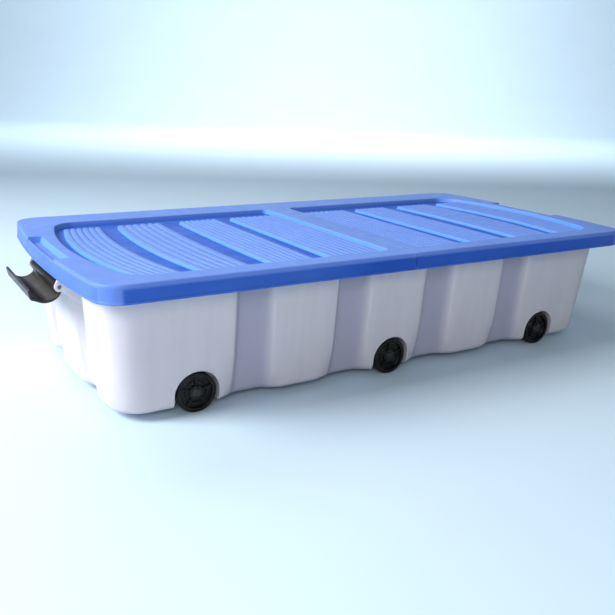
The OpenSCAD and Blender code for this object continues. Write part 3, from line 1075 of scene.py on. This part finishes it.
def tub():
    """Open corrugated tub with wheel wells, pivot lugs and a rolled rim."""
    levels = [(level, 0.0) for level in OUTER_LEVELS + rim_levels()]
    levels += [(level, TUB_WALL) for level in reversed(INNER_LEVELS)]
    shell = stack("tub_shell", levels, TUB)
    slack = 0.05 * mm
    block = stack("block", [((l[0] + slack, *l[1:]), slack) for l in OUTER_LEVELS], TUB)
    wells = arches("well_shells", WELL_RADIUS + TUB_WALL, WELL_FLOOR - TUB_WALL, HALF_W)
    combine(wells, block, "INTERSECT")
    combine(shell, wells, "UNION")
    combine(shell, lugs(), "UNION")
    combine(shell, arches("wells", WELL_RADIUS, WELL_FLOOR, HALF_W + 10 * mm), "DIFFERENCE")
    combine(shell, rim_notches(), "DIFFERENCE")
    pins = round_bars("pins", ROD_RADIUS + BORE_GAP, [(-80 * mm, -55 * mm), (55 * mm, 80 * mm)],
                      [(PIVOT.x, PIVOT.z), (-PIVOT.x, PIVOT.z)])
    combine(shell, pins, "DIFFERENCE")
    reach = (WELL_FLOOR - 2 * TUB_WALL, WELL_FLOOR + TUB_WALL)
    bores = round_bars("bores", AXLE_RADIUS + BORE_GAP, [(-reach[1], -reach[0]), reach],
                       [(place * WHEEL_SPACING, WHEEL_RADIUS) for place in (-1, 0, 1)])
    combine(shell, bores, "DIFFERENCE")
    combine(shell, arch_beads(), "UNION")
    tidy_mesh(shell, 32)
    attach(shell, "tub")
    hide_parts("tub")


# ---------- wheels and axles ----------

HUB_RADIUS = 8 * mm
FACE_RADIUS = 19 * mm
FACE_SINK = 4 * mm
WHEEL_WIDTH = 16 * mm
SPOKES = 5


def around(base, *steps):
    """Profile points from steps in millimetres: (radius past the base radius, y)."""
    return [(base + out * mm, y * mm) for out, y in steps]


def wheel_profile():
    """Half section of a wheel, face at y = 0: hub, sunk web with a ring, rim and grooved tread."""
    bore, ring, sink, back = AXLE_RADIUS + BORE_GAP, 12.6 * mm, FACE_SINK / mm, WHEEL_WIDTH / mm
    points = around(bore, (0, 1.1), (0.3, 0.8))
    points += around(HUB_RADIUS, (-0.6, 0.8), (-0.15, 1.0), (0, 1.4), (0.1, 3.5), (0.6, sink))
    points += around(ring, (-1.0, sink), (-0.7, 3.7), (-0.55, 2.7), (-0.3, 2.4))
    points += around(ring, (0.3, 2.4), (0.55, 2.7), (0.7, 3.7), (1.0, sink))
    points += around(FACE_RADIUS, (-0.7, sink), (-0.15, 3.4), (0, 0.6), (0.2, 0.15), (0.6, 0))
    points += around(WHEEL_RADIUS, (-1.6, 0), (-0.9, 0.2), (-0.3, 0.75), (0, 1.6))
    for y in (3.2, 5.6, 8.0, 10.4, 12.8):
        points += around(WHEEL_RADIUS, (0, y - 0.45), (-0.45, y - 0.25), (-0.45, y + 0.25), (0, y + 0.45))
    points += around(WHEEL_RADIUS, (0, back - 1.6), (-0.3, back - 0.75), (-0.9, back - 0.2), (-1.6, back))
    return points + around(bore, (0.3, back), (0, back - 0.3))


def seat(piece, x, side):
    """Moves a piece made about the Y axis, face at y = 0, to its wheel's place."""
    turned = Matrix.Rotation(math.pi if side > 0 else 0, 4, "Z")
    piece.data.transform(Matrix.Translation((x, side * WHEEL_FACE, WHEEL_RADIUS)) @ turned)
    tidy_mesh(piece, 30)


def wheel(name, x, side):
    """Spoked wheel whose face looks outwards."""
    body = lathe(name + "_disc", wheel_profile(), WHEEL, closed=True)
    made = []
    for i in range(SPOKES):
        a = 2 * math.pi * i / SPOKES + math.pi / 2
        reach, half = (HUB_RADIUS - 0.6 * mm, FACE_RADIUS + 0.4 * mm), 1.25 * mm
        corners = [(r * math.cos(a) - s * half * math.sin(a), r * math.sin(a) + s * half * math.cos(a))
                   for r, s in ((reach[0], -1), (reach[1], -1), (reach[1], 1), (reach[0], 1))]
        made.append(prism(f"{name}_spoke_{i}", corners, 1.7 * mm, FACE_SINK + 1 * mm, WHEEL))
    spokes = joined(name + "_spokes", made)
    soften(spokes, 0.45 * mm)
    combine(body, spokes, "UNION")
    seat(body, x, side)
    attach(body, name)
    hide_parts(name)


def axle(name, x, side):
    """Snap pin: domed head outside the wheel, shank and a tapered barb behind the well's wall."""
    head, tail = AXLE_RADIUS + 3.5 * mm, WHEEL_FACE - WELL_FLOOR + TUB_WALL
    turn = [math.pi / 2 * i / 8 for i in range(9)]
    dome = [(head * math.sin(t), (-0.2 - 0.9 * math.cos(t)) * mm) for t in turn]
    profile = [(0, dome[0][1])] + dome[1:] + [(head, 0.35 * mm), (head - 0.15 * mm, 0.5 * mm)]
    profile += [(AXLE_RADIUS + 0.2 * mm, 0.5 * mm), (AXLE_RADIUS, 0.8 * mm), (AXLE_RADIUS, tail + 0.2 * mm)]
    profile += [(AXLE_RADIUS + 0.9 * mm, tail + 0.3 * mm), (AXLE_RADIUS + 0.9 * mm, tail + 0.7 * mm)]
    profile += [(AXLE_RADIUS - 0.2 * mm, tail + 2 * mm), (0, tail + 2 * mm)]
    piece = lathe(name + "_pin", profile, AXLE, 64)
    seat(piece, x, side)
    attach(piece, "tub")
    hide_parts(name)


def wheels_and_axles():
    """A wheel and its pin at every place."""
    for name, (x, side) in zip(WHEEL_NAMES, wheel_places()):
        wheel("wheel_" + name, x, side)
        axle("axle_" + name, x, side)


# ---------- handles ----------

HANDLE_HALF = 61.5 * mm
BULGE = Vector((-3 * mm, 14 * mm))
BULGE_RADIUS = 19.5 * mm
HEEL_HEIGHT = 11.5 * mm
RIB_PITCH = 4.1 * mm
RIB_RISE = 0.5 * mm


def bulge_arc(radius, z0, z1, steps):
    """Points of the bulge's circle between two heights over the pivot."""
    a0, a1 = (math.asin((z - BULGE.y) / radius) for z in (z0, z1))
    return arc(BULGE.x, BULGE.y, radius, a0, a1, steps)


def hook_outline():
    """Closed section of the handle in its closed position, pivot at the origin, anticlockwise."""
    outer, inner, tip = HOOK_INNER + HOOK_THICK, HOOK_INNER, HOOK_THICK / 2
    clear = math.acos(8 * mm / HOOK_INNER)
    middle = HOOK_INNER + tip
    points = bulge_arc(BULGE_RADIUS, -3 * mm, 28 * mm, 22)
    points += arc(0, 0, outer, math.radians(72), HOOK_REACH, 10)
    points += arc(middle * math.cos(HOOK_REACH), middle * math.sin(HOOK_REACH), tip, HOOK_REACH,
                  HOOK_REACH + math.pi, 8)[1:-1]
    points += arc(0, 0, inner, HOOK_REACH, clear, 8)
    points += bulge_arc(BULGE_RADIUS - HOOK_THICK, 25.5 * mm, 2 * mm, 22)
    points += [(5.4 * mm, 3.2 * mm), (2.7 * mm, 4.2 * mm)]
    points += arc(0, 0, BARREL, math.pi / 2, 3 * math.pi / 2, 16)
    points += [(3.2 * mm, -4.4 * mm)]
    return relaxed(points, 2)


def relaxed(points, times):
    """The closed outline with its corners eased."""
    p = np.array(points)
    for _ in range(times):
        p = 0.5 * p + 0.25 * (np.roll(p, 1, 0) + np.roll(p, -1, 0))
    return [tuple(q) for q in p]


def rib_share(point):
    """How much of the grip ribs' height a point of the section takes: only inside the bulge."""
    x, z = point
    away = math.hypot(x - BULGE.x, z - BULGE.y)
    if away > BULGE_RADIUS - 0.6 * HOOK_THICK or x < 0:
        return 0.0
    return ease((z - 3.5 * mm) / (2.5 * mm)) * ease((26 * mm - z) / (4 * mm))


def handle_rows():
    """(y, inset, rib height) of the section's copies along the handle."""
    ends = [(0.0, 1.05), (0.12, 0.62), (0.42, 0.22), (0.85, 0.04), (1.4, 0.0)]
    rows = [(-HANDLE_HALF + y * mm, inset * mm, 0.0) for y, inset in ends]
    clear = 3 * mm
    count = int(2 * (HANDLE_HALF - clear) / RIB_PITCH)
    pitch = 2 * (HANDLE_HALF - clear) / count
    for i in range(count):
        for share, height in ((0.0, 0), (0.22, 0), (0.34, 0.55), (0.5, 1), (0.66, 0.55), (0.78, 0)):
            rows.append((-HANDLE_HALF + clear + (i + share) * pitch, 0.0, height * RIB_RISE))
    rows.append((HANDLE_HALF - clear, 0.0, 0.0))
    return rows + [(-y, inset, 0.0) for y, inset, _ in reversed(rows[:len(ends)])]


def swung(x, z):
    """A point of the closed section in the handle's rest position, over the pivot."""
    c, s = math.cos(HANDLE_SWING), math.sin(HANDLE_SWING)
    return PIVOT.x + x * c + z * s, PIVOT.z - x * s + z * c


def handle_sections():
    """Rows of points of the handle at +X, one section after another, without its bore."""
    outline = hook_outline()
    normals = outward(outline)
    shares = [rib_share(p) for p in outline]
    rows = []
    for y, inset, rib in handle_rows():
        row = []
        for (x, z), (nx, nz), share in zip(outline, normals, shares):
            out = rib * share - inset
            px, pz = swung(x + nx * out, z + nz * out)
            row.append((px, y, pz))
        rows.append(row)
    return rows


def handle(name, end):
    """Hooked handle at rest, swung out, with stop heels over its barrel."""
    grip = tube(name + "_grip", handle_sections(), HANDLE)
    made = []
    for side in (-1, 1):
        x0, x1 = PIVOT.x - 5 * mm, PIVOT.x - 1 * mm
        low, high = PIVOT.z, PIVOT.z + HEEL_HEIGHT
        outline = [(x0, low), (x1, low), (x1, high), (x0, high)]
        middle = side * (HANDLE_HALF - 12 * mm)
        made.append(prism(f"{name}_heel_{side}", outline, middle - 4 * mm, middle + 4 * mm, HANDLE))
    heels = joined(name + "_heels", made)
    soften(heels, 0.6 * mm)
    combine(grip, heels, "UNION")
    bore = round_bars(name + "_bore", ROD_RADIUS + BORE_GAP, [(-HANDLE_HALF - 5 * mm, HANDLE_HALF + 5 * mm)],
                      [(PIVOT.x, PIVOT.z)])
    combine(grip, bore, "DIFFERENCE")
    if end < 0:
        grip.data.transform(Matrix.Rotation(math.pi, 4, "Z"))
    tidy_mesh(grip, 38)
    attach(grip, name)
    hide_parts(name)


def handle_rod(name, end):
    """Wire rod through the lugs, its ends slightly domed."""
    half, r = LUG_Y + LUG_THICK - 0.8 * mm, ROD_RADIUS
    tip = [(0, 0), (0.45 * r, 0.03 * mm), (0.75 * r, 0.14 * mm), (0.93 * r, 0.34 * mm), (r, 0.65 * mm)]
    profile = [(q, -half + y) for q, y in tip] + [(q, half - y) for q, y in reversed(tip)]
    rod = lathe(name + "_wire", profile, STEEL, 48)
    rod.data.transform(Matrix.Translation((end * PIVOT.x, 0, PIVOT.z)))
    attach(rod, "tub")
    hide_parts(name)


tub()
wheels_and_axles()
for ending, sign in (("left", -1), ("right", 1)):
    handle("handle_" + ending, sign)
    handle_rod("handle_rod_" + ending, sign)

# ---------- camera, light and floor ----------

CAMERA_PLACE = (-0.5871, -0.9122, 0.3669)
CAMERA_YAW, CAMERA_PITCH, CAMERA_ROLL = (math.radians(a) for a in (31.46, 16.50, 1.775))
CAMERA_LENS = 45.02


def camera():
    """Camera low at the left front corner, turned to the long side and a little rolled."""
    yaw, pitch, roll = CAMERA_YAW, CAMERA_PITCH, CAMERA_ROLL
    forward = Vector((math.sin(yaw) * math.cos(pitch), math.cos(yaw) * math.cos(pitch), -math.sin(pitch)))
    right = Vector((math.cos(yaw), -math.sin(yaw), 0))
    up = right.cross(forward)
    x_axis = math.cos(roll) * right + math.sin(roll) * up
    y_axis = math.cos(roll) * up - math.sin(roll) * right
    data = bpy.data.cameras.new("camera")
    data.lens = CAMERA_LENS
    data.sensor_width = 36
    data.clip_start = 0.01
    piece = bpy.data.objects.new("camera", data)
    bpy.context.scene.collection.objects.link(piece)
    turned = Matrix((x_axis, y_axis, -forward)).transposed().to_4x4()
    piece.matrix_world = Matrix.Translation(CAMERA_PLACE) @ turned
    bpy.context.scene.camera = piece


def area_light(name, place, target, size, power, colour):
    """Rectangular light at a place, facing a target."""
    data = bpy.data.lights.new(name, "AREA")
    data.shape = "RECTANGLE"
    data.size, data.size_y = size
    data.energy = power
    data.color = colour
    piece = bpy.data.objects.new(name, data)
    bpy.context.scene.collection.objects.link(piece)
    piece.location = place
    piece.rotation_euler = (Vector(target) - Vector(place)).to_track_quat("-Z", "Y").to_euler()


def studio():
    """Soft key from the left, weaker lights from the front and the back, and a wash on the sweep."""
    area_light("key", (-2.0, 0.2, 1.3), (-0.4, 0, 0.1), (0.9, 0.9), 66, (1, 0.99, 0.97))
    area_light("front", (-1.0, -1.6, 0.9), (-0.3, -0.2, 0.08), (0.9, 0.7), 12, (1, 0.985, 0.97))
    area_light("top", (-0.5, 1.2, 1.7), (-0.2, 0, 0.1), (1.4, 0.9), 13, (0.95, 0.98, 1))
    area_light("wash", (1.6, 2.6, 2.6), (3.0, 5.2, 1.2), (3, 1), 230, (0.97, 0.985, 1))
    world = bpy.data.worlds.new("studio")
    world.use_nodes = True
    tree = world.node_tree
    feed(tree, tree.nodes["Background"], {"Color": (0.90, 0.94, 1, 1), "Strength": 0.23})
    bpy.context.scene.world = world
    bpy.context.scene.view_settings.view_transform = "Standard"
    sweep()


def sweep():
    """Pale floor that curves up into a wall far behind the box, square to the camera."""
    reach, bend, height, far, yaw = 5.0, 2.5, 9.0, 20.0, CAMERA_YAW
    profile = [(-far, 0.0)] + arc(reach, bend, bend, -math.pi / 2, 0, 24) + [(reach + bend, height)]
    ends = []
    for side in (-far, far):
        ends.append([(side * math.cos(yaw) + q * math.sin(yaw), -side * math.sin(yaw) + q * math.cos(yaw), z)
                     for q, z in profile])
    n = len(profile)
    faces = bridge(list(range(n)), list(range(n, 2 * n)), closed=False)
    return object_from("floor", ends[0] + ends[1], faces, floor_paint())


camera()
studio()
